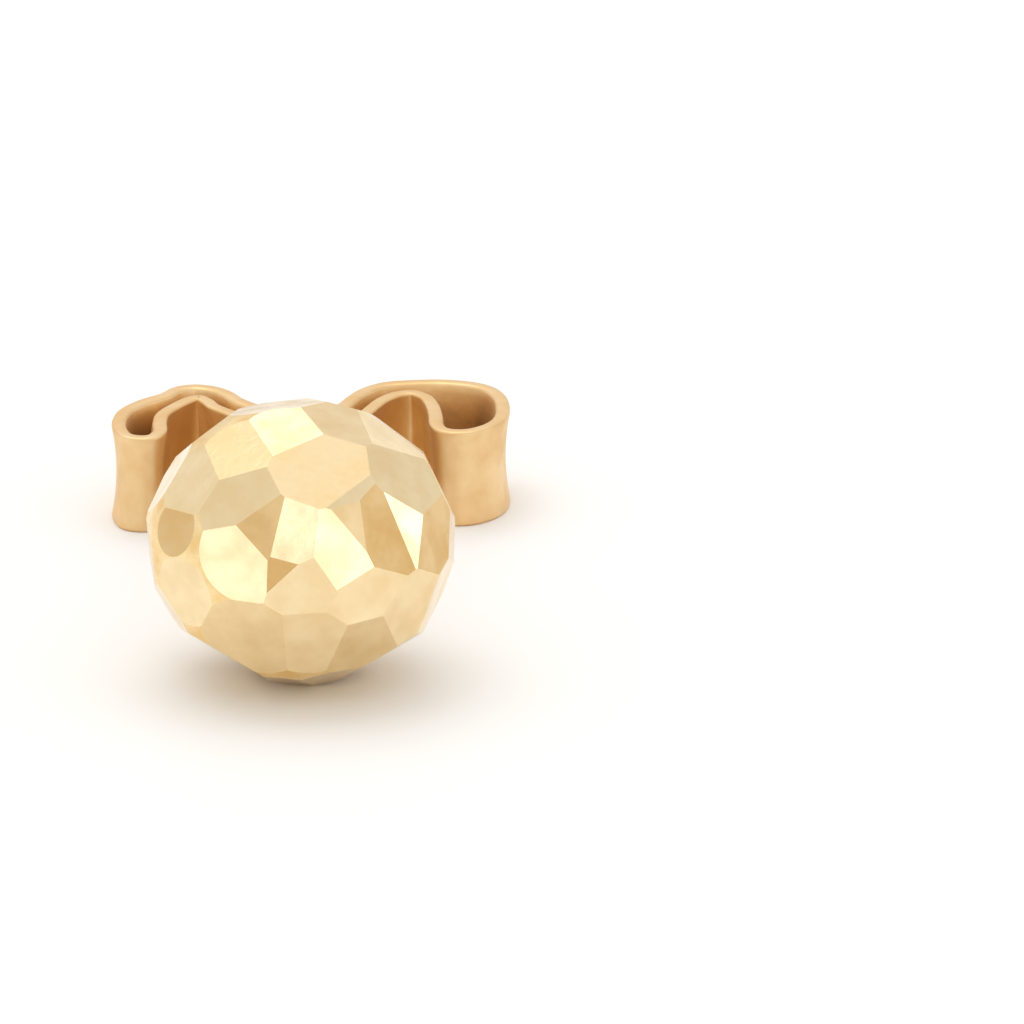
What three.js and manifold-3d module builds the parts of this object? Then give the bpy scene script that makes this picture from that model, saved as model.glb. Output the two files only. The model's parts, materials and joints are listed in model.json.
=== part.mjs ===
// Ball stud earring with its butterfly back, lying by itself on a table.
// Millimetres, +Z up. The cut ball faces -Y, its post runs back along +Y and slopes down to the
// butterfly back, which stands on its lower edges. The table is z = 0.
import * as THREE from 'three';
import { mergeVertices } from 'three/addons/utils/BufferGeometryUtils.js';
import Module from 'manifold-3d';

const wasm = await Module();
wasm.setup();

// Driving dimensions, in millimetres and degrees
const BALL_RADIUS = 2.1; // round blank, before its cuts
const BALL_FLATTENING = 0.92; // the cut ball's height as a share of its width
const BALL_CENTRE_HEIGHT = 1.87; // also the distance from the centre to the lowest cut
const SHOW_SIDE_TILT = 18; // the show side looks this far up
const BALL_SEGMENTS = 40;
const POST_RADIUS = 0.375;
const POST_LENGTH = 8.8; // from the ball's centre to the tip
const TIP_BEVEL = 0.12;
const SOLDER_FILLET = 0.16;
const STRIP_WIDTH = 1.35; // height of the butterfly's strip
const STRIP_THICKNESS = 0.2;
const STRIP_DISH = 0.07; // how far the strip's edges stand out from its middle
const BACK_DISTANCE = 7.25; // from the ball's centre to the hole's plate, along Y
const HOLE_CLEARANCE = 0.06;

// Construction
const WELD_DISTANCE = 1e-5;
const CUT_BLOCK_SIZE = 2.4; // in ball radii, so that a block reaches past the ball
const FILLET_STEPS = 4;
const FILLET_OVERLAP = 0.02; // how far the solder goes into the ball
const POST_SIDES = 32;
const DRILL_OVERRUN = 2; // how far the hole's drill goes past the tip

// Worked out from them
const STRIP_CENTRE_HEIGHT = STRIP_WIDTH / 2;
const POST_SLOPE = Math.atan2(BALL_CENTRE_HEIGHT - STRIP_CENTRE_HEIGHT, BACK_DISTANCE);
const POST_DIRECTION = new THREE.Vector3(0, Math.cos(POST_SLOPE), -Math.sin(POST_SLOPE));
const BALL_CENTRE = new THREE.Vector3(0, 0, BALL_CENTRE_HEIGHT);

// Cuts of the show side, seen square on to it: where each cut faces, across and up as shares of
// the radius, and the depth of its plane from the ball's centre as a share of the blank's radius.
const SHOW_CUTS = [
  { across: 0.16, up: 0.51, depth: 0.927 }, // broad cut above the middle
  { across: -0.03, up: 0.02, depth: 0.921 }, // fan round the middle
  { across: 0.26, up: -0.01, depth: 0.918 },
  { across: -0.21, up: 0.06, depth: 0.93 },
  { across: -0.05, up: -0.05, depth: 0.928 },
  { across: 0.05, up: -0.15, depth: 0.93 },
  { across: -0.36, up: 0.28, depth: 0.948 }, // tall pair on the left
  { across: -0.32, up: -0.04, depth: 0.935 },
  { across: 0.42, up: -0.29, depth: 0.946 }, // broad cut at the lower right
  { across: 0.33, up: 0.33, depth: 0.944 }, // slivers on the right
  { across: 0.41, up: 0.12, depth: 0.925 },
  { across: 0.53, up: 0.13, depth: 0.92 },
  { across: 0.66, up: 0.19, depth: 0.932 },
  { across: 0.7, up: 0.43, depth: 0.93 },
  { across: 0.56, up: 0.77, depth: 0.955 },
  { across: 0.88, up: 0.08, depth: 0.945 },
  { across: -0.32, up: -0.66, depth: 0.94 }, // lower row
  { across: 0.07, up: -0.68, depth: 0.95 },
  { across: 0.42, up: -0.7, depth: 0.95 },
  { across: 0.74, up: -0.45, depth: 0.945 },
  { across: -0.8, up: 0.12, depth: 0.98 }, // left side
  { across: -0.75, up: -0.33, depth: 0.967 },
  { across: -0.69, up: 0.45, depth: 0.96 },
  { across: -0.86, up: -0.5, depth: 0.95 },
  { across: -0.09, up: 0.8, depth: 0.955 }, // top row
  { across: 0.27, up: 0.86, depth: 0.955 },
  { across: -0.4, up: 0.66, depth: 0.955 },
  { across: -0.1, up: 0.99, depth: 0.96 }, // round the rim
  { across: -0.99, up: -0.05, depth: 0.985 },
  { across: -0.53, up: -0.847, depth: 0.905 },
  { across: -0.1, up: -0.99, depth: 0.955 },
  { across: 0.52, up: -0.854, depth: 0.925 },
  { across: 0.93, up: -0.35, depth: 0.935 },
];

// Cuts of the far side go round in a spiral, outside the show side
const SPIRAL_CUTS = 70;
const SPIRAL_FROM = 0.2; // a spiral cut is made where it faces the show side less than this
const SPIRAL_DEPTH = 0.958;
const SPIRAL_DEPTH_CHANGE = 0.012;
const SPIRAL_DEPTH_RATE = 2.4; // radians of the change from one spiral cut to the next
const GOLDEN_ANGLE = Math.PI * (3 - Math.sqrt(5));
const BACK_CUT_DEPTH = 0.92; // flat round the post

// Fold rows of each arm of the butterfly, as the middle of the sheet seen from above: reach
// sideways from the post, and set-back behind the hole's plate (a minus sign is towards the ball).
const RIGHT_ARM = [
  { reach: 0.38, setBack: 0.02 },
  { reach: 0.57, setBack: 0.46 },
  { reach: 0.83, setBack: 1.06 },
  { reach: 1.1, setBack: 1.34 },
  { reach: 1.46, setBack: 1.43 },
  { reach: 1.85, setBack: 1.45 },
  { reach: 2.24, setBack: 1.34 },
  { reach: 2.45, setBack: 1.15 },
  { reach: 2.58, setBack: 0.8 },
  { reach: 2.62, setBack: 0.4 },
  { reach: 2.61, setBack: 0.05 }, // outer end
  { reach: 2.54, setBack: -0.24 },
  { reach: 2.38, setBack: -0.5 },
  { reach: 2.16, setBack: -0.65 }, // front lip
  { reach: 1.95, setBack: -0.62 },
  { reach: 1.85, setBack: -0.42 },
  { reach: 1.82, setBack: 0.1 },
  { reach: 1.76, setBack: 0.6 },
  { reach: 1.66, setBack: 0.92 },
  { reach: 1.46, setBack: 1.11 }, // second layer, along the first
  { reach: 1.22, setBack: 1.05 },
  { reach: 1.0, setBack: 0.8 },
  { reach: 0.83, setBack: 0.4 },
  { reach: 0.69, setBack: -0.02 },
  { reach: 0.57, setBack: -0.4 },
  { reach: 0.545, setBack: -0.62 }, // tip, against the post
];
const LEFT_ARM = [
  { reach: 0.38, setBack: 0.02 },
  { reach: 0.54, setBack: 0.14 },
  { reach: 0.77, setBack: 0.36 },
  { reach: 1.01, setBack: 0.66 },
  { reach: 1.14, setBack: 0.92 },
  { reach: 1.31, setBack: 1.13 },
  { reach: 1.54, setBack: 1.23 },
  { reach: 1.74, setBack: 1.14 },
  { reach: 1.9, setBack: 0.87 },
  { reach: 2.2, setBack: 0.57 },
  { reach: 2.42, setBack: 0.2 },
  { reach: 2.5, setBack: -0.2 }, // outer end
  { reach: 2.48, setBack: -0.6 },
  { reach: 2.37, setBack: -0.88 }, // front lip
  { reach: 2.18, setBack: -0.92 },
  { reach: 2.07, setBack: -0.7 },
  { reach: 2.07, setBack: -0.3 },
  { reach: 2.04, setBack: 0.08 },
  { reach: 1.88, setBack: 0.45 },
  { reach: 1.62, setBack: 0.83 },
  { reach: 1.46, setBack: 0.88 }, // second layer, along the first
  { reach: 1.32, setBack: 0.7 },
  { reach: 1.22, setBack: 0.46 },
  { reach: 1.0, setBack: 0.18 },
  { reach: 0.8, setBack: -0.06 },
  { reach: 0.64, setBack: -0.28 },
  { reach: 0.55, setBack: -0.5 },
  { reach: 0.545, setBack: -0.66 }, // tip, against the post
];
const STATIONS_PER_ARM = 66;
const STRIP_SECTION_STEPS = 4;

// Closed three.js geometry to solid and back
function toSolid(geometry) {
  const bare = geometry.clone();
  bare.deleteAttribute('normal');
  bare.deleteAttribute('uv');
  const merged = mergeVertices(bare, WELD_DISTANCE);
  const mesh = new wasm.Mesh({
    numProp: 3,
    vertProperties: new Float32Array(merged.attributes.position.array),
    triVerts: new Uint32Array(merged.index.array),
  });
  return new wasm.Manifold(mesh);
}

function toGeometry(solid) {
  const mesh = solid.getMesh();
  const geometry = new THREE.BufferGeometry();
  geometry.setAttribute('position', new THREE.BufferAttribute(mesh.vertProperties, 3));
  geometry.setIndex(new THREE.BufferAttribute(mesh.triVerts, 1));
  geometry.computeVertexNormals();
  return geometry;
}

// A row of the show side's chart as a direction in space
function showDirection({ across, up }) {
  const tilt = THREE.MathUtils.degToRad(SHOW_SIDE_TILT);
  const out = Math.sqrt(1 - across * across - up * up);
  const side = new THREE.Vector3(1, 0, 0);
  const upright = new THREE.Vector3(0, Math.sin(tilt), Math.cos(tilt));
  const outward = new THREE.Vector3(0, -Math.cos(tilt), Math.sin(tilt));
  return side.multiplyScalar(across).addScaledVector(upright, up).addScaledVector(outward, out);
}

// Every cut of the ball as a direction and a distance from its centre
function ballCuts() {
  const cuts = SHOW_CUTS.map((row) => ({
    direction: showDirection(row),
    distance: row.depth * BALL_RADIUS,
  }));
  const facing = showDirection({ across: 0, up: 0 });
  for (let i = 0; i < SPIRAL_CUTS; i += 1) {
    const z = 1 - (2 * (i + 0.5)) / SPIRAL_CUTS;
    const ring = Math.sqrt(1 - z * z);
    const turn = i * GOLDEN_ANGLE;
    const direction = new THREE.Vector3(ring * Math.cos(turn), ring * Math.sin(turn), z);
    const depth = SPIRAL_DEPTH + SPIRAL_DEPTH_CHANGE * Math.sin(SPIRAL_DEPTH_RATE * i);
    if (direction.dot(facing) < SPIRAL_FROM) {
      cuts.push({ direction, distance: depth * BALL_RADIUS });
    }
  }
  // the flattening tilts a cut's plane, so the cut round the post is turned the other way first
  const backward = POST_DIRECTION.clone();
  backward.z *= BALL_FLATTENING;
  const backDistance = (BACK_CUT_DEPTH * BALL_RADIUS) / backward.length();
  cuts.push({ direction: backward.normalize(), distance: backDistance });
  const downward = new THREE.Vector3(0, 0, -1);
  cuts.push({ direction: downward, distance: BALL_CENTRE_HEIGHT / BALL_FLATTENING });
  return cuts;
}

// Block whose near face lies on a cut's plane
function cutBlock({ direction, distance }) {
  const size = CUT_BLOCK_SIZE * BALL_RADIUS;
  const block = new THREE.BoxGeometry(size, size, size);
  const turn = new THREE.Quaternion().setFromUnitVectors(new THREE.Vector3(0, 0, 1), direction);
  block.translate(0, 0, distance + size / 2);
  block.applyQuaternion(turn);
  return block;
}

function cutBall() {
  const blank = new THREE.SphereGeometry(BALL_RADIUS, BALL_SEGMENTS, BALL_SEGMENTS / 2);
  let ball = toSolid(blank);
  for (const cut of ballCuts()) ball = ball.subtract(toSolid(cutBlock(cut)));
  return toSolid(toGeometry(ball).scale(1, 1, BALL_FLATTENING));
}

// Post as a turned profile: from inside the ball, over the solder fillet, to the bevelled tip
function postGeometry(radius, from, to, fillet, bevel) {
  const backFace = BACK_CUT_DEPTH * BALL_RADIUS;
  const profile = [
    new THREE.Vector2(0, from),
    new THREE.Vector2(radius, from),
  ];
  if (fillet > 0) {
    for (let i = 0; i <= FILLET_STEPS; i += 1) {
      const turn = (i / FILLET_STEPS) * (Math.PI / 2);
      const out = radius + fillet * (1 - Math.sin(turn));
      const along = backFace - FILLET_OVERLAP + fillet * (1 - Math.cos(turn));
      profile.push(new THREE.Vector2(out, along));
    }
  }
  profile.push(new THREE.Vector2(radius, to - bevel));
  profile.push(new THREE.Vector2(radius - bevel, to));
  profile.push(new THREE.Vector2(0, to));
  const geometry = new THREE.LatheGeometry(profile, POST_SIDES);
  const turn = new THREE.Quaternion().setFromUnitVectors(new THREE.Vector3(0, 1, 0), POST_DIRECTION);
  geometry.applyQuaternion(turn);
  return geometry;
}

function ballStud() {
  const post = postGeometry(POST_RADIUS, 0, POST_LENGTH, SOLDER_FILLET, TIP_BEVEL);
  return toGeometry(cutBall().add(toSolid(post)));
}

// Middle line of the whole strip, from the left arm's tip through the hole's plate to the right's
function stripLine() {
  const left = LEFT_ARM.map((row) => new THREE.Vector3(-row.reach, row.setBack, 0)).reverse();
  const right = RIGHT_ARM.map((row) => new THREE.Vector3(row.reach, row.setBack, 0));
  return new THREE.CatmullRomCurve3([...left, ...right], false, 'centripetal');
}

// Dished strip carried along its middle line. The section has an outer and an inner face, each
// bowed by the dish, so the sheet keeps its thickness.
function stripGeometry() {
  const line = stripLine();
  const stations = 2 * STATIONS_PER_ARM;
  const section = [];
  for (let side = 1; side >= -1; side -= 2) {
    for (let i = 0; i <= STRIP_SECTION_STEPS; i += 1) {
      const level = side * (1 - (2 * i) / STRIP_SECTION_STEPS);
      const bow = STRIP_DISH * level * level;
      section.push({ out: bow + (side * STRIP_THICKNESS) / 2, up: (level * STRIP_WIDTH) / 2 });
    }
  }
  const positions = [];
  for (let s = 0; s <= stations; s += 1) {
    const point = line.getPointAt(s / stations);
    const along = line.getTangentAt(s / stations);
    const outward = new THREE.Vector3(-along.y, along.x, 0);
    for (const { out, up } of section) {
      positions.push(point.x + outward.x * out, point.y + outward.y * out, up);
    }
  }
  const count = section.length;
  const triangles = [];
  for (let s = 0; s < stations; s += 1) {
    for (let i = 0; i < count; i += 1) {
      const a = s * count + i;
      const b = s * count + ((i + 1) % count);
      triangles.push(a, b + count, b, a, a + count, b + count);
    }
  }
  for (let i = 0; i < STRIP_SECTION_STEPS; i += 1) {
    const j = count - 1 - i;
    for (const [start, flip] of [[0, false], [stations * count, true]]) {
      const quad = [start + i, start + i + 1, start + j - 1, start + j];
      const [a, b, c, d] = flip ? quad.reverse() : quad;
      triangles.push(a, b, c, a, c, d);
    }
  }
  const geometry = new THREE.BufferGeometry();
  geometry.setAttribute('position', new THREE.Float32BufferAttribute(positions, 3));
  geometry.setIndex(triangles);
  return geometry;
}

function butterflyBack() {
  const strip = stripGeometry();
  const middle = new THREE.Vector3(0, BACK_DISTANCE, STRIP_CENTRE_HEIGHT);
  strip.translate(middle.x, middle.y, middle.z);
  const drill = postGeometry(POST_RADIUS + HOLE_CLEARANCE, 0, POST_LENGTH + DRILL_OVERRUN, 0, 0);
  drill.translate(BALL_CENTRE.x, BALL_CENTRE.y, BALL_CENTRE.z);
  return toGeometry(toSolid(strip).subtract(toSolid(drill)));
}

function goldMaterial(color) {
  return new THREE.MeshStandardMaterial({ color, roughness: 0.22, metalness: 1 });
}

const stud = new THREE.Mesh(ballStud(), goldMaterial(0xf0d38a));
stud.name = 'ball_stud';
stud.position.copy(BALL_CENTRE);

const back = new THREE.Mesh(butterflyBack(), goldMaterial(0xe6c890));
back.name = 'butterfly_back';

// The frame's origin is on the table, under the middle of the whole earring's box
const earring = new THREE.Group();
earring.add(stud, back);
earring.updateMatrixWorld(true);
const middle = new THREE.Box3().setFromObject(earring, true).getCenter(new THREE.Vector3());
earring.position.set(-middle.x, -middle.y, 0);

export default earring;
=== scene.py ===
"""Ball stud earring with its butterfly back, resting on a pale table."""

import json
import logging
import math
from dataclasses import dataclass, field
from enum import Enum

import bmesh
import bpy
import numpy as np
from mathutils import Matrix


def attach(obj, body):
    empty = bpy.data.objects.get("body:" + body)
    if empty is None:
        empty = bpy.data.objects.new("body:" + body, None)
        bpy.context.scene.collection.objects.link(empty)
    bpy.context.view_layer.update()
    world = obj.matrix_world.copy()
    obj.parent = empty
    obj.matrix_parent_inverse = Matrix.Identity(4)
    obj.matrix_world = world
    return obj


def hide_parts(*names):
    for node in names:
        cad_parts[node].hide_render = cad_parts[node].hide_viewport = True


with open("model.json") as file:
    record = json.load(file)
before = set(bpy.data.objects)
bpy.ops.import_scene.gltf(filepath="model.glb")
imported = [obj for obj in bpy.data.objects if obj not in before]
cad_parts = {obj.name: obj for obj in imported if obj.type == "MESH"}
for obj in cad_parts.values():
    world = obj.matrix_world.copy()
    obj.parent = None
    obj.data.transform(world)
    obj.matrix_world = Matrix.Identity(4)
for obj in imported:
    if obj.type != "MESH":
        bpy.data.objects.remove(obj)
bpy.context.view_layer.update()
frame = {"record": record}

LOG = logging.getLogger("ball_stud_earring")
MM = 0.001


class Body(Enum):
    """The two rigid bodies of the earring."""

    STUD = "stud"
    BACK = "back"


class Side(Enum):
    """Arms of the butterfly, by the side they reach to."""

    LEFT = -1.0
    RIGHT = 1.0


# ---------------------------------------------------------------- shared mesh and node helpers


def unit(vector: np.ndarray) -> np.ndarray:
    """Returns the vector, or each row of an array, divided by its length."""
    return vector / np.linalg.norm(vector, axis=-1, keepdims=True)


def grid_quads(rows: int, columns: int, wrap: bool) -> np.ndarray:
    """Works out the faces of a grid of points stored row by row.

    Args:
        rows: Number of rows of points.
        columns: Number of points in a row.
        wrap: Whether each row closes on itself.

    Returns:
        Array of quads, four point numbers each.
    """
    across = columns if wrap else columns - 1
    row, column = np.meshgrid(np.arange(rows - 1), np.arange(across), indexing="ij")
    following = (column + 1) % columns
    quads = np.stack(
        [
            row * columns + column,
            row * columns + following,
            (row + 1) * columns + following,
            (row + 1) * columns + column,
        ],
        axis=-1,
    )
    return quads.reshape(-1, 4)


def mesh_piece(name: str, points: np.ndarray, faces: list, smooth: bool = True) -> bpy.types.Object:
    """Makes a mesh object at the origin from points in metres.

    Args:
        name: Name of the piece.
        points: Array of points, one row each.
        faces: Lists of point numbers.
        smooth: Whether the faces are shaded smooth.

    Returns:
        The linked object.
    """
    mesh = bpy.data.meshes.new(name)
    mesh.from_pydata(points, [], faces)
    mesh.polygons.foreach_set("use_smooth", np.full(len(mesh.polygons), smooth))
    mesh.update()
    piece = bpy.data.objects.new(name, mesh)
    bpy.context.scene.collection.objects.link(piece)
    return piece


def add_node(tree: bpy.types.NodeTree, kind: str, **settings: object) -> bpy.types.Node:
    """Adds a shader node and sets its properties.

    Args:
        tree: Node tree that it goes into.
        kind: Node type.
        **settings: Properties of the node.

    Returns:
        The new node.
    """
    node = tree.nodes.new(kind)
    for key, value in settings.items():
        setattr(node, key, value)
    return node


def scaled_noise(tree: bpy.types.NodeTree, scale: float, detail: float) -> bpy.types.NodeSocket:
    """Returns the output of a noise texture on Object coordinates, with scale in cells per metre."""
    where = add_node(tree, "ShaderNodeTexCoord")
    noise = add_node(tree, "ShaderNodeTexNoise")
    noise.inputs["Scale"].default_value = scale
    noise.inputs["Detail"].default_value = detail
    tree.links.new(where.outputs["Object"], noise.inputs["Vector"])
    return noise.outputs["Fac"]


def ranged(
    tree: bpy.types.NodeTree, source: bpy.types.NodeSocket, low: float, high: float, to_low: float, to_high: float
) -> bpy.types.NodeSocket:
    """Returns a socket that maps source from low..high to to_low..to_high, held inside them."""
    node = add_node(tree, "ShaderNodeMapRange", clamp=True)
    for key, value in (("From Min", low), ("From Max", high), ("To Min", to_low), ("To Max", to_high)):
        node.inputs[key].default_value = value
    tree.links.new(source, node.inputs["Value"])
    return node.outputs["Result"]


# ---------------------------------------------------------------- finishes


@dataclass(frozen=True)
class GoldFinish:
    """Pale yellow gold: a metal whose tone, gloss and fine relief vary a little over its surface; a named
    face attribute can add tone face by face, which on the cut ball's charted facets is painted shade.

    Sizes of the relief are in metres.
    """

    name: str
    pale: tuple[float, float, float, float]
    deep: tuple[float, float, float, float]
    gloss: float
    dullness: float
    mottle_size: float
    grain_size: float
    grain_height: float
    tone_and_shade_attribute: str = ""

    def make(self) -> bpy.types.Material:
        """Builds the node material.

        Returns:
            The material, with its colour, roughness and bump from nodes.
        """
        material = bpy.data.materials.new(self.name)
        material.use_nodes = True
        tree = material.node_tree
        shader = tree.nodes["Principled BSDF"]
        shader.inputs["Metallic"].default_value = 1.0
        mottle = scaled_noise(tree, 1.0 / self.mottle_size, 3.0)
        tone = ranged(tree, mottle, 0.35, 0.65, 0.0, 1.0)
        # The named face attribute deepens the colour face by face: painted shade on the cut ball's charted facets.
        if self.tone_and_shade_attribute:
            facet = add_node(tree, "ShaderNodeAttribute", attribute_name=self.tone_and_shade_attribute)
            blend = add_node(tree, "ShaderNodeMath", operation="MULTIPLY_ADD", use_clamp=True)
            blend.inputs[1].default_value = 0.25
            tree.links.new(tone, blend.inputs[0])
            tree.links.new(facet.outputs["Fac"], blend.inputs[2])
            tone = blend.outputs[0]
        mix = add_node(tree, "ShaderNodeMix", data_type="RGBA")
        mix.inputs["A"].default_value = self.pale
        mix.inputs["B"].default_value = self.deep
        tree.links.new(tone, mix.inputs["Factor"])
        tree.links.new(mix.outputs["Result"], shader.inputs["Base Color"])
        tree.links.new(ranged(tree, mottle, 0.3, 0.7, self.gloss, self.dullness), shader.inputs["Roughness"])
        grain = scaled_noise(tree, 1.0 / self.grain_size, 4.0)
        bump = add_node(tree, "ShaderNodeBump")
        bump.inputs["Strength"].default_value = 1.0
        bump.inputs["Distance"].default_value = self.grain_height
        tree.links.new(grain, bump.inputs["Height"])
        tree.links.new(bump.outputs["Normal"], shader.inputs["Normal"])
        return material


# The cut ball's facet attribute holds painted shade on the charted facets and tone that varies from cut to cut on the
# others.
CUT_GOLD = GoldFinish(
    name="cut_gold",
    pale=(1.0, 0.83, 0.52, 1.0),
    deep=(0.70, 0.45, 0.18, 1.0),
    gloss=0.13,
    dullness=0.26,
    mottle_size=0.45 * MM,
    grain_size=0.10 * MM,
    grain_height=0.0012 * MM,
    tone_and_shade_attribute="facet_tone_and_painted_shade",
)
SATIN_GOLD = GoldFinish(
    name="satin_gold",
    pale=(0.95, 0.74, 0.40, 1.0),
    deep=(0.86, 0.58, 0.24, 1.0),
    gloss=0.24,
    dullness=0.36,
    mottle_size=0.30 * MM,
    grain_size=0.06 * MM,
    grain_height=0.004 * MM,
)
STRIP_GOLD = GoldFinish(
    name="strip_gold",
    pale=(0.88, 0.64, 0.35, 1.0),
    deep=(0.80, 0.54, 0.26, 1.0),
    gloss=0.38,
    dullness=0.52,
    mottle_size=0.55 * MM,
    grain_size=0.12 * MM,
    grain_height=0.004 * MM,
)
POST_GOLD = GoldFinish(
    name="post_gold",
    pale=(0.94, 0.73, 0.42, 1.0),
    deep=(0.88, 0.64, 0.33, 1.0),
    gloss=0.14,
    dullness=0.24,
    mottle_size=0.8 * MM,
    grain_size=0.10 * MM,
    grain_height=0.002 * MM,
)


# ---------------------------------------------------------------- the stud's axes


@dataclass
class StudAxes:
    """Where the ball sits and where the post points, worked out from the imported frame. Metres."""

    ball_centre_height: float = 1.87 * MM
    ball_centre: np.ndarray = field(init=False)
    post_direction: np.ndarray = field(init=False)

    def __post_init__(self) -> None:
        """Reads the slide's axis and the resting facet's mount from the frame's record."""
        record = frame["record"]
        self.post_direction = unit(np.array(record["behaviour"]["joints"][0]["axis"], dtype=float))
        mounts = {mount["name"]: mount for mount in record["mounts"]}
        lowest = np.array(mounts["rest_facet"]["pos_m"], dtype=float)
        self.ball_centre = lowest + np.array([0.0, 0.0, self.ball_centre_height])


# ---------------------------------------------------------------- the cut ball


@dataclass(frozen=True)
class Cut:
    """One flat cut on the show side.

    across and up say where it faces, as shares of the radius seen square on; depth is the share of
    the blank's radius between the ball's centre and its plane; tone is painted shade: how much deeper
    its gold is made, standing in for the dark that the facet shows from what it reflects.
    """

    across: float
    up: float
    depth: float
    tone: float


@dataclass
class CutBall:
    """The ball: a slightly flattened round blank with irregular flat cuts all over. Metres."""

    axes: StudAxes
    radius: float = 2.1 * MM
    flattening: float = 0.92
    show_side_tilt: float = math.radians(18.0)
    rings: int = 120
    edge_softness: float = 0.011 * MM
    back_cut_depth: float = 0.92
    spiral_cuts: int = 70
    spiral_from: float = 0.2
    spiral_depth: float = 0.958
    spiral_depth_change: float = 0.012
    # Each charted cut's tone is painted shade: deeper gold on facets that look dark from what they reflect, pale gold
    # on the bright ones.
    show_cuts: tuple[Cut, ...] = (
        Cut(across=0.16, up=0.51, depth=0.927, tone=0.22),
        Cut(across=-0.03, up=0.02, depth=0.921, tone=0.0),
        Cut(across=0.26, up=-0.01, depth=0.918, tone=0.0),
        Cut(across=-0.21, up=0.06, depth=0.93, tone=0.72),
        Cut(across=-0.05, up=-0.05, depth=0.928, tone=0.95),
        Cut(across=0.05, up=-0.15, depth=0.93, tone=0.18),
        Cut(across=-0.36, up=0.28, depth=0.948, tone=0.2),
        Cut(across=-0.32, up=-0.04, depth=0.935, tone=0.05),
        Cut(across=0.42, up=-0.29, depth=0.946, tone=0.22),
        Cut(across=0.33, up=0.33, depth=0.944, tone=0.0),
        Cut(across=0.41, up=0.12, depth=0.925, tone=0.35),
        Cut(across=0.53, up=0.13, depth=0.92, tone=0.75),
        Cut(across=0.66, up=0.19, depth=0.932, tone=0.0),
        Cut(across=0.7, up=0.43, depth=0.93, tone=0.15),
        Cut(across=0.56, up=0.77, depth=0.955, tone=0.1),
        Cut(across=0.88, up=0.08, depth=0.945, tone=0.75),
        Cut(across=-0.32, up=-0.66, depth=0.94, tone=0.3),
        Cut(across=0.07, up=-0.68, depth=0.95, tone=0.16),
        Cut(across=0.42, up=-0.7, depth=0.95, tone=0.38),
        Cut(across=0.74, up=-0.45, depth=0.945, tone=0.24),
        Cut(across=-0.8, up=0.12, depth=0.98, tone=0.7),
        Cut(across=-0.75, up=-0.33, depth=0.967, tone=0.12),
        Cut(across=-0.69, up=0.45, depth=0.96, tone=0.1),
        Cut(across=-0.86, up=-0.5, depth=0.95, tone=0.3),
        Cut(across=-0.09, up=0.8, depth=0.955, tone=0.34),
        Cut(across=0.27, up=0.86, depth=0.955, tone=0.28),
        Cut(across=-0.4, up=0.66, depth=0.955, tone=0.36),
        Cut(across=-0.1, up=0.99, depth=0.96, tone=0.3),
        Cut(across=-0.99, up=-0.05, depth=0.985, tone=0.6),
        Cut(across=-0.53, up=-0.847, depth=0.905, tone=0.35),
        Cut(across=-0.1, up=-0.99, depth=0.955, tone=0.35),
        Cut(across=0.52, up=-0.854, depth=0.925, tone=0.3),
        Cut(across=0.93, up=-0.35, depth=0.935, tone=0.3),
    )

    def facing(self, across: float, up: float) -> np.ndarray:
        """Returns the direction in space of a place on the show side's chart."""
        tilt = self.show_side_tilt
        out = math.sqrt(max(0.0, 1.0 - across * across - up * up))
        upright = np.array([0.0, math.sin(tilt), math.cos(tilt)])
        outward = np.array([0.0, -math.cos(tilt), math.sin(tilt)])
        return unit(across * np.array([1.0, 0.0, 0.0]) + up * upright + out * outward)

    def planes(self) -> list[tuple[np.ndarray, float, float]]:
        """Works out every cut on the round blank: the charted ones, a golden-angle spiral of cuts
        where the ball faces away from the show side, the flat round the post and the lowest flat.

        Returns:
            Direction, distance from the centre and tone of each cut: painted shade on the charted cuts,
            tone that varies from cut to cut on the others.
        """
        planes = [(self.facing(cut.across, cut.up), cut.depth * self.radius, cut.tone) for cut in self.show_cuts]
        number = np.arange(self.spiral_cuts)
        height = 1.0 - 2.0 * (number + 0.5) / self.spiral_cuts
        ring = np.sqrt(1.0 - height**2)
        turn = number * math.pi * (3.0 - math.sqrt(5.0))
        around = np.stack([ring * np.cos(turn), ring * np.sin(turn), height], axis=1)
        depth = self.spiral_depth + self.spiral_depth_change * np.sin(2.4 * number)
        tone = 0.32 + 0.28 * np.sin(1.7 * number)
        away = around @ self.facing(0.0, 0.0) < self.spiral_from
        for direction, share, colour in zip(around[away], depth[away], tone[away]):
            planes.append((direction, share * self.radius, float(colour)))
        backward = self.axes.post_direction * np.array([1.0, 1.0, self.flattening])
        length = float(np.linalg.norm(backward))
        planes.append((backward / length, self.back_cut_depth * self.radius / length, 0.3))
        planes.append((np.array([0.0, 0.0, -1.0]), self.axes.ball_centre_height / self.flattening, 0.4))
        return planes

    def blank(self) -> tuple[np.ndarray, list]:
        """Works out the round blank: latitude and longitude run over a sphere's formula, and each
        pole is one point.

        Returns:
            Points about the ball's centre, and faces.
        """
        columns = 2 * self.rings
        latitude = np.linspace(-math.pi / 2, math.pi / 2, self.rings + 1)[1:-1]
        longitude = np.linspace(0.0, 2.0 * math.pi, columns, endpoint=False)
        lat, lon = np.meshgrid(latitude, longitude, indexing="ij")
        round_points = np.stack([np.cos(lat) * np.cos(lon), np.cos(lat) * np.sin(lon), np.sin(lat)], axis=-1)
        poles = np.array([[0.0, 0.0, -1.0], [0.0, 0.0, 1.0]])
        points = np.concatenate([round_points.reshape(-1, 3), poles]) * self.radius
        faces = grid_quads(self.rings - 1, columns, wrap=True).tolist()
        south, north = len(points) - 2, len(points) - 1
        first = np.arange(columns)
        last = first + (self.rings - 2) * columns
        faces += np.stack([np.full(columns, south), np.roll(first, -1), first], axis=1).tolist()
        faces += np.stack([np.full(columns, north), last, np.roll(last, -1)], axis=1).tolist()
        return points, faces

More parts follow.
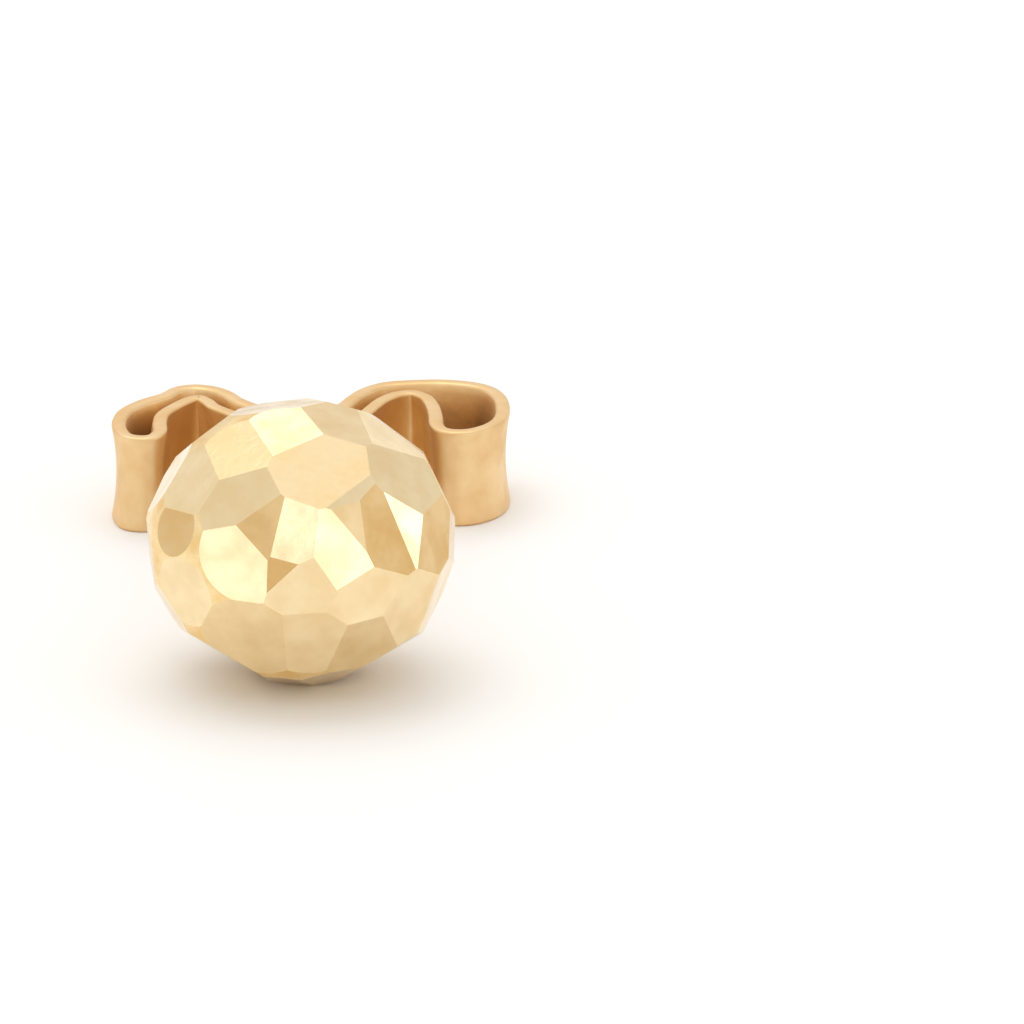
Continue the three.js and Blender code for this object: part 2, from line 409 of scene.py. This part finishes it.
    def build(self) -> bpy.types.Object:
        """Cuts the blank by each plane and softens the edges where two flats meet. The cuts are
        exact plane sections, so every facet is one true flat face.

        Returns:
            The ball's object.
        """
        points, faces = self.blank()
        ball = mesh_piece("cut_ball", points, faces)
        shape = bmesh.new()
        shape.from_mesh(ball.data)
        # This face layer holds each flat's tone: painted shade on the charted cuts, tone that varies from cut to cut
        # on the others.
        tone_and_shade_layer = shape.faces.layers.float.new("facet_tone_and_painted_shade")
        flat_layer = shape.faces.layers.int.new("flat")
        for face in shape.faces:
            face[tone_and_shade_layer] = 0.3
        for direction, distance, tone in self.planes():
            self.cut(shape, direction, distance, tone, tone_and_shade_layer, flat_layer)
        between = [
            edge
            for edge in shape.edges
            if len(edge.link_faces) == 2
            and all(face[flat_layer] for face in edge.link_faces)
            and edge.calc_face_angle(0.0) > math.radians(1.5)
        ]
        bmesh.ops.bevel(
            shape, geom=between, offset=self.edge_softness, segments=2, profile=0.5, affect="EDGES", clamp_overlap=True
        )
        for face in shape.faces:
            face.smooth = not face[flat_layer]
        sharp_from = math.radians(7.0)
        for edge in shape.edges:
            edge.smooth = edge.calc_face_angle(0.0) < sharp_from
        shape.to_mesh(ball.data)
        shape.free()
        self.place(ball)
        return ball

    def cut(
        self,
        shape: bmesh.types.BMesh,
        direction: np.ndarray,
        distance: float,
        tone: float,
        tone_and_shade_layer: bmesh.types.BMLayerItem,
        flat_layer: bmesh.types.BMLayerItem,
    ) -> None:
        """Takes off what lies outside one plane and closes the section with one flat face."""
        geometry = list(shape.verts) + list(shape.edges) + list(shape.faces)
        result = bmesh.ops.bisect_plane(
            shape,
            geom=geometry,
            dist=1e-9,
            plane_co=tuple(direction * distance),
            plane_no=tuple(direction),
            clear_outer=True,
        )
        rim = [item for item in result["geom_cut"] if isinstance(item, bmesh.types.BMEdge)]
        rim = [edge for edge in rim if edge.is_valid and len(edge.link_faces) == 1]
        if not rim:
            return
        filled = bmesh.ops.contextual_create(shape, geom=rim)
        for face in filled["faces"]:
            # The tone stored here is painted shade on the charted cuts.
            face[tone_and_shade_layer] = tone
            face[flat_layer] = 1
            face.normal_update()
            if face.normal.dot(direction) < 0.0:
                face.normal_flip()

    def place(self, ball: bpy.types.Object) -> None:
        """Flattens the cut ball and moves its mesh to the ball's centre."""
        mesh = ball.data
        points = np.empty(len(mesh.vertices) * 3)
        mesh.vertices.foreach_get("co", points)
        points = points.reshape(-1, 3) * np.array([1.0, 1.0, self.flattening]) + self.axes.ball_centre
        mesh.vertices.foreach_set("co", points.ravel())
        mesh.update()

    def dress(self, ball: bpy.types.Object) -> None:
        """Gives the flats the bright finish and the skin left between them the satin one."""
        ball.data.materials.append(CUT_GOLD.make())
        ball.data.materials.append(SATIN_GOLD.make())
        flat = np.empty(len(ball.data.polygons), dtype=np.int32)
        ball.data.attributes["flat"].data.foreach_get("value", flat)
        ball.data.polygons.foreach_set("material_index", (1 - np.clip(flat, 0, 1)).astype(np.int32))

    def make(self) -> bpy.types.Object:
        """Builds, dresses and binds the ball to the stud's body."""
        ball = self.build()
        self.dress(ball)
        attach(ball, Body.STUD.value)
        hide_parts("ball_stud")
        return ball


# ---------------------------------------------------------------- the post


@dataclass
class EarPost:
    """The straight pin soldered to the ball's back flat, with a bevelled tip. Metres."""

    axes: StudAxes
    radius: float = 0.375 * MM
    length: float = 8.8 * MM
    start: float = 1.7 * MM
    solder_flat: float = 1.932 * MM
    solder_fillet: float = 0.09 * MM
    tip_bevel: float = 0.12 * MM
    sides: int = 96

    def profile(self) -> np.ndarray:
        """Works out half the post's section, from inside the ball to the tip: a quarter-circle
        fillet of solder, the straight pin and a quarter-ellipse bevel.

        Returns:
            Rows of radius and distance along the post.
        """
        turn = np.linspace(0.0, math.pi / 2, 9)
        fillet = np.stack(
            [
                self.radius + self.solder_fillet * (1.0 - np.sin(turn)),
                self.solder_flat - 0.01 * MM + self.solder_fillet * (1.0 - np.cos(turn)),
            ],
            axis=1,
        )
        bevel = np.stack(
            [
                self.radius - self.tip_bevel * (1.0 - np.cos(turn)),
                self.length - self.tip_bevel * (1.0 - np.sin(turn)),
            ],
            axis=1,
        )
        straight = np.linspace(fillet[-1, 1], bevel[0, 1], 26)[1:-1]
        pin = np.stack([np.full(len(straight), self.radius), straight], axis=1)
        root = np.array([[fillet[0, 0], self.start]])
        return np.concatenate([root, fillet, pin, bevel])

    def build(self) -> bpy.types.Object:
        """Turns the profile round the post's axis and closes both ends with a flat face.

        Returns:
            The post's object.
        """
        rows = self.profile()
        turn = np.linspace(0.0, 2.0 * math.pi, self.sides, endpoint=False)
        side = np.array([1.0, 0.0, 0.0])
        other = np.cross(self.axes.post_direction, side)
        ring = np.cos(turn)[:, None] * side + np.sin(turn)[:, None] * other
        points = (
            self.axes.ball_centre
            + rows[:, 1, None, None] * self.axes.post_direction
            + rows[:, 0, None, None] * ring[None]
        ).reshape(-1, 3)
        faces = grid_quads(len(rows), self.sides, wrap=True).tolist()
        last = (len(rows) - 1) * self.sides
        faces.append(list(range(self.sides))[::-1])
        faces.append([last + number for number in range(self.sides)])
        return mesh_piece("ear_post", points, faces)

    def make(self) -> bpy.types.Object:
        """Builds, dresses and binds the post to the stud's body."""
        post = self.build()
        mark_sharp(post, math.radians(35.0))
        post.data.materials.append(POST_GOLD.make())
        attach(post, Body.STUD.value)
        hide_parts("ball_stud")
        return post


def mark_sharp(piece: bpy.types.Object, angle: float) -> None:
    """Shades a piece smooth except over edges that turn by more than angle, with normals outward."""
    shape = bmesh.new()
    shape.from_mesh(piece.data)
    bmesh.ops.recalc_face_normals(shape, faces=list(shape.faces))
    for edge in shape.edges:
        edge.smooth = edge.calc_face_angle(0.0) < angle
    shape.to_mesh(piece.data)
    shape.free()


# ---------------------------------------------------------------- the butterfly back


@dataclass(frozen=True)
class Fold:
    """A row of an arm's plan: reach sideways from the post and set-back behind the hole's plate,
    both in millimetres to the middle of the sheet; a minus set-back is towards the ball."""

    reach: float
    set_back: float


@dataclass
class ButterflyBack:
    """The friction back: one dished strip rolled into two unequal scrolls. Metres."""

    axes: StudAxes
    width: float = 1.35 * MM
    thickness: float = 0.2 * MM
    dish: float = 0.07 * MM
    rim_radius: float = 0.045 * MM
    distance: float = 7.25 * MM
    hole_radius: float = 0.435 * MM
    stations: int = 620
    right_arm: tuple[Fold, ...] = (
        Fold(0.38, 0.02), Fold(0.57, 0.46), Fold(0.83, 1.06), Fold(1.1, 1.34), Fold(1.46, 1.43),
        Fold(1.85, 1.45), Fold(2.24, 1.34), Fold(2.45, 1.15), Fold(2.58, 0.8), Fold(2.62, 0.4),
        Fold(2.61, 0.05), Fold(2.54, -0.24), Fold(2.38, -0.5), Fold(2.16, -0.65), Fold(1.95, -0.62),
        Fold(1.85, -0.42), Fold(1.82, 0.1), Fold(1.76, 0.6), Fold(1.66, 0.92), Fold(1.46, 1.11),
        Fold(1.22, 1.05), Fold(1.0, 0.8), Fold(0.83, 0.4), Fold(0.69, -0.02), Fold(0.57, -0.4),
        Fold(0.545, -0.62),
    )
    left_arm: tuple[Fold, ...] = (
        Fold(0.38, 0.02), Fold(0.54, 0.14), Fold(0.77, 0.36), Fold(1.01, 0.66), Fold(1.14, 0.92),
        Fold(1.31, 1.13), Fold(1.54, 1.23), Fold(1.74, 1.14), Fold(1.9, 0.87), Fold(2.2, 0.57),
        Fold(2.42, 0.2), Fold(2.5, -0.2), Fold(2.48, -0.6), Fold(2.37, -0.88), Fold(2.18, -0.92),
        Fold(2.07, -0.7), Fold(2.07, -0.3), Fold(2.04, 0.08), Fold(1.88, 0.45), Fold(1.62, 0.83),
        Fold(1.46, 0.88), Fold(1.32, 0.7), Fold(1.22, 0.46), Fold(1.0, 0.18), Fold(0.8, -0.06),
        Fold(0.64, -0.28), Fold(0.55, -0.5), Fold(0.545, -0.66),
    )

    def arm_points(self, side: Side) -> np.ndarray:
        """Returns an arm's fold rows as plan points about the hole, in metres."""
        arm = self.left_arm if side is Side.LEFT else self.right_arm
        return np.array([(side.value * fold.reach, fold.set_back) for fold in arm]) * MM

    def middle_line(self) -> tuple[np.ndarray, np.ndarray]:
        """Carries a centripetal Catmull-Rom curve through the fold rows, left tip to right tip, and
        spaces stations evenly along its length.

        Returns:
            Plan points and unit tangents of the stations.
        """
        rows = np.concatenate([self.arm_points(Side.LEFT)[::-1], self.arm_points(Side.RIGHT)])
        ends = np.stack([2.0 * rows[0] - rows[1], 2.0 * rows[-1] - rows[-2]])
        rows = np.concatenate([ends[:1], rows, ends[1:]])
        a, b, c, d = rows[:-3, None], rows[1:-2, None], rows[2:-1, None], rows[3:, None]
        t0 = np.zeros((len(a), 1, 1))
        t1 = t0 + np.linalg.norm(b - a, axis=-1, keepdims=True) ** 0.5
        t2 = t1 + np.linalg.norm(c - b, axis=-1, keepdims=True) ** 0.5
        t3 = t2 + np.linalg.norm(d - c, axis=-1, keepdims=True) ** 0.5
        share = np.linspace(0.0, 1.0, 40, endpoint=False)[None, :, None]
        t = t1 + (t2 - t1) * share
        ab = (t1 - t) / (t1 - t0) * a + (t - t0) / (t1 - t0) * b
        bc = (t2 - t) / (t2 - t1) * b + (t - t1) / (t2 - t1) * c
        cd = (t3 - t) / (t3 - t2) * c + (t - t2) / (t3 - t2) * d
        abc = (t2 - t) / (t2 - t0) * ab + (t - t0) / (t2 - t0) * bc
        bcd = (t3 - t) / (t3 - t1) * bc + (t - t1) / (t3 - t1) * cd
        curve = ((t2 - t) / (t2 - t1) * abc + (t - t1) / (t2 - t1) * bcd).reshape(-1, 2)
        curve = np.concatenate([curve, rows[-2:-1]])
        run = np.concatenate([[0.0], np.cumsum(np.linalg.norm(np.diff(curve, axis=0), axis=1))])
        even = np.linspace(0.0, run[-1], self.stations)
        line = np.stack([np.interp(even, run, curve[:, 0]), np.interp(even, run, curve[:, 1])], axis=1)
        return line, unit(np.gradient(line, axis=0))

    def section(self) -> np.ndarray:
        """Works out the strip's closed section: two faces bowed outward by a parabola, the dish,
        joined at each edge by a rounded rim.

        Returns:
            Rows of outward offset and height above the strip's middle.
        """
        half = self.width / 2
        reach = half - self.rim_radius
        level = np.linspace(1.0, -1.0, 15)
        turn = np.linspace(0.0, math.pi / 2, 5)[1:]
        flat = self.thickness / 2 - self.rim_radius
        outer = np.stack([np.full(15, self.thickness / 2), level * reach], axis=1)
        bottom_out = np.stack(
            [flat + self.rim_radius * np.cos(turn), -reach - self.rim_radius * np.sin(turn)], axis=1
        )
        bottom_in = bottom_out[::-1] * np.array([-1.0, 1.0])
        around = np.concatenate([outer, bottom_out, bottom_in])
        around = np.concatenate([around, -around[1:] * np.array([1.0, 1.0])])
        bow = self.dish * (around[:, 1] / half) ** 2
        rows = around.copy()
        rows[:, 0] += bow
        keep = np.linalg.norm(rows - np.roll(rows, -1, axis=0), axis=1) > 1e-9
        return rows[keep]

    def build(self) -> bpy.types.Object:
        """Carries the section along the middle line, closes both tips and drills the post's hole.

        Returns:
            The back's object.
        """
        line, along = self.middle_line()
        section = self.section()
        outward = np.stack([-along[:, 1], along[:, 0]], axis=1)
        plan = line[:, None, :] + section[None, :, 0, None] * outward[:, None, :]
        up = np.broadcast_to(section[None, :, 1, None], plan.shape[:2] + (1,))
        centre = np.array(
            [self.axes.ball_centre[0], self.axes.ball_centre[1] + self.distance, self.width / 2]
        )
        points = np.concatenate([plan, up], axis=2).reshape(-1, 3) + centre
        count = len(section)
        faces = grid_quads(self.stations, count, wrap=True).tolist()
        last = (self.stations - 1) * count
        faces.append(list(range(count)))
        faces.append([last + number for number in range(count)][::-1])
        strip = mesh_piece("butterfly_scrolls", points, faces)
        mark_sharp(strip, math.radians(40.0))
        self.drill(strip)
        return strip

    def drill(self, strip: bpy.types.Object) -> None:
        """Cuts the post's hole through the middle plate with a straight drill along the post."""
        sides = 64
        turn = np.linspace(0.0, 2.0 * math.pi, sides, endpoint=False)
        side = np.array([1.0, 0.0, 0.0])
        other = np.cross(self.axes.post_direction, side)
        ring = self.hole_radius * (np.cos(turn)[:, None] * side + np.sin(turn)[:, None] * other)
        reach = np.array([self.distance - 1.5 * MM, self.distance + 3.0 * MM])
        points = self.axes.ball_centre + reach[:, None, None] * self.axes.post_direction + ring[None]
        faces = grid_quads(2, sides, wrap=True).tolist()
        faces.append(list(range(sides))[::-1])
        faces.append([sides + number for number in range(sides)])
        bit = mesh_piece("drill", points.reshape(-1, 3), faces)
        mark_sharp(bit, math.radians(40.0))
        hole = strip.modifiers.new("post_hole", "BOOLEAN")
        hole.operation = "DIFFERENCE"
        hole.solver = "EXACT"
        hole.object = bit
        graph = bpy.context.evaluated_depsgraph_get()
        drilled = bpy.data.meshes.new_from_object(strip.evaluated_get(graph))
        strip.modifiers.clear()
        strip.data = drilled
        bpy.data.objects.remove(bit)
        mark_sharp(strip, math.radians(40.0))

    def make(self) -> bpy.types.Object:
        """Builds, dresses and binds the back to its own body."""
        strip = self.build()
        strip.data.materials.clear()
        strip.data.materials.append(STRIP_GOLD.make())
        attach(strip, Body.BACK.value)
        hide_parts("butterfly_back")
        return strip


# ---------------------------------------------------------------- the studio


@dataclass(frozen=True)
class SoftBox:
    """A soft light: where it hangs from the ball across, away and up, and its width and height, all
    in metres, and its power in watts."""

    name: str
    across: float
    away: float
    up: float
    width: float
    height: float
    power: float


@dataclass
class Studio:
    """Pale table, soft lights and the camera."""

    axes: StudAxes
    camera_tilt: float = math.radians(18.0)
    camera_distance: float = 260.0 * MM
    view_width: float = 13.65 * MM
    ball_left_of_middle: float = 2.81 * MM
    ball_below_middle: float = 0.41 * MM
    sensor: float = 36.0
    table_size: float = 3.0
    table_tone: tuple[float, float, float, float] = (0.95, 0.95, 0.948, 1.0)
    soft_boxes: tuple[SoftBox, ...] = (
        SoftBox(name="key", across=0.072, away=-0.27, up=0.10, width=0.20, height=0.085, power=0.036),
        SoftBox(name="top", across=-0.05, away=0.10, up=0.35, width=0.30, height=0.30, power=0.32),
        SoftBox(name="right", across=0.30, away=0.02, up=0.10, width=0.07, height=0.07, power=0.014),
        SoftBox(name="left", across=-0.20, away=-0.26, up=0.06, width=0.08, height=0.07, power=0.006),
    )

    def table(self) -> None:
        """Lays the pale table under the earring."""
        half = self.table_size / 2
        corners = np.array([[-half, -half, 0.0], [half, -half, 0.0], [half, half, 0.0], [-half, half, 0.0]])
        table = mesh_piece("table", corners, [[0, 1, 2, 3]])
        material = bpy.data.materials.new("table_white")
        material.use_nodes = True
        shader = material.node_tree.nodes["Principled BSDF"]
        shader.inputs["Base Color"].default_value = self.table_tone
        shader.inputs["Roughness"].default_value = 0.6
        table.data.materials.append(material)

    def surroundings(self) -> None:
        """Makes the soft room: warm white light whose strength changes in soft patches."""
        world = bpy.data.worlds.new("room")
        world.use_nodes = True
        bpy.context.scene.world = world
        tree = world.node_tree
        background = tree.nodes["Background"]
        where = add_node(tree, "ShaderNodeTexCoord")
        patches = add_node(tree, "ShaderNodeTexNoise")
        patches.inputs["Scale"].default_value = 2.2
        patches.inputs["Detail"].default_value = 1.0
        tree.links.new(where.outputs["Generated"], patches.inputs["Vector"])
        strength = ranged(tree, patches.outputs["Fac"], 0.40, 0.60, 0.80, 1.04)
        tree.links.new(strength, background.inputs["Strength"])
        background.inputs["Color"].default_value = (1.0, 0.984, 0.962, 1.0)

    def lights(self) -> None:
        """Hangs the soft boxes, each turned to the ball."""
        from mathutils import Vector

        for box in self.soft_boxes:
            lamp = bpy.data.lights.new(box.name, "AREA")
            lamp.shape = "RECTANGLE"
            lamp.size = box.width
            lamp.size_y = box.height
            lamp.energy = box.power
            holder = bpy.data.objects.new(box.name, lamp)
            place = self.axes.ball_centre + np.array([box.across, box.away, box.up])
            holder.location = place
            aim = Vector(self.axes.ball_centre - place)
            holder.rotation_euler = aim.to_track_quat("-Z", "Y").to_euler()
            bpy.context.scene.collection.objects.link(holder)

    def camera(self) -> None:
        """Sets the long lens level with the show side's tilt, beside the ball's axis."""
        data = bpy.data.cameras.new("camera")
        data.sensor_width = self.sensor
        data.lens = self.sensor * self.camera_distance / self.view_width
        data.clip_start = 0.01
        data.clip_end = 10.0
        holder = bpy.data.objects.new("camera", data)
        tilt = self.camera_tilt
        upright = np.array([0.0, math.sin(tilt), math.cos(tilt)])
        outward = np.array([0.0, -math.cos(tilt), math.sin(tilt)])
        side = np.array([1.0, 0.0, 0.0])
        holder.location = (
            self.axes.ball_centre
            + outward * self.camera_distance
            + side * self.ball_left_of_middle
            + upright * self.ball_below_middle
        )
        holder.rotation_euler = (math.pi / 2 - tilt, 0.0, 0.0)
        bpy.context.scene.collection.objects.link(holder)
        bpy.context.scene.camera = holder

    def set_up(self) -> None:
        """Builds the whole studio."""
        self.table()
        self.surroundings()
        self.lights()
        self.camera()
        bpy.context.scene.view_settings.view_transform = "Standard"


def main() -> None:
    """Builds the earring and its studio, and reports each piece."""
    logging.basicConfig(level=logging.INFO, format="%(message)s")
    axes = StudAxes()
    Studio(axes).set_up()
    for maker in (CutBall(axes), EarPost(axes), ButterflyBack(axes)):
        piece = maker.make()
        LOG.info("%s: %d faces", piece.name, len(piece.data.polygons))


if __name__ == "__main__":
    main()
